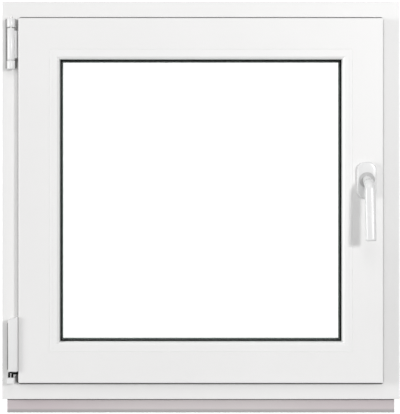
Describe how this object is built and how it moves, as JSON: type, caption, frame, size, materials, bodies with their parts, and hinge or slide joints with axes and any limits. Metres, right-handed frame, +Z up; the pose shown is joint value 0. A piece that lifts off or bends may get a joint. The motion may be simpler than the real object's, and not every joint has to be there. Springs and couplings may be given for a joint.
{
  "type": "basement window",
  "caption": "White plastic tilt-and-turn window, closed: mitred frame and sash round a double pane, with a turning handle, hinges at the left and a sill profile below.",
  "frame": {"origin": "centre of the underside of the sill profile, where the window stands on the masonry", "axes": "+Z up, +Y to the outside, +X to the handle side as seen from the room"},
  "size_m": [0.8, 0.1607, 0.83],
  "materials": {
    "pvc_white": "smooth satin-gloss PVC",
    "bead_white": "smooth satin-gloss PVC",
    "glass_clear": "clear float glass",
    "seal_black": "black sealant",
    "spacer_grey": "dull, perforated",
    "gasket_black": "matt black",
    "handle_white": "white powder coat",
    "collar_white": "white plastic",
    "hinge_white": "white coat",
    "cover_white": "white plastic",
    "steel_zinc": "zinc plated",
    "band_dark": "dark coated steel",
    "fork_black": "black plastic",
    "sill_grey": "grey recycled PVC, matt",
    "foam_grey": "dark grey sealing foam"
  },
  "bodies": {
    "window": {"frame_head": "pvc_white", "frame_bottom": "pvc_white", "frame_hinge_jamb": "pvc_white", "frame_handle_jamb": "pvc_white", "sash_top_rail": "pvc_white", "sash_bottom_rail": "pvc_white", "sash_hinge_stile": "pvc_white", "sash_handle_stile": "pvc_white", "bead_top": "bead_white", "bead_bottom": "bead_white", "bead_hinge_side": "bead_white", "bead_handle_side": "bead_white", "pane_inside": "glass_clear", "pane_outside": "glass_clear", "glass_edge_seal": "seal_black", "glass_spacer": "spacer_grey", "gasket_glass_inside": "gasket_black", "gasket_glass_outside": "gasket_black", "gasket_sash_lip": "gasket_black", "gasket_frame_stop": "gasket_black", "handle_rosette": "handle_white", "handle_collar": "collar_white", "top_hinge_bracket": "hinge_white", "top_hinge_stay_knuckle": "hinge_white", "bottom_hinge_bearing": "hinge_white", "bottom_hinge_cover": "cover_white", "drain_cap_left": "cover_white", "drain_cap_right": "cover_white", "top_hinge_pin": "steel_zinc", "bottom_hinge_pin": "steel_zinc", "lock_gearbox": "steel_zinc", "lock_faceplate": "steel_zinc", "lock_cam_low": "steel_zinc", "lock_cam_high": "steel_zinc", "lock_striker_low": "steel_zinc", "lock_striker_high": "steel_zinc", "bottom_hinge_band": "band_dark", "bottom_hinge_adjuster": "fork_black", "sill_profile": "sill_grey", "sill_seal": "foam_grey"},
    "handle": {"handle_lever": "handle_white", "handle_spindle": "steel_zinc", "lock_follower": "steel_zinc"}
  },
  "joints": [
    {"name": "handle_turn", "type": "hinge", "parent": "window", "child": "handle", "pos_m": [0.33, -0.067, 0.471], "axis": [0, 1, 0], "range_deg": [0, 180]}
  ]
}
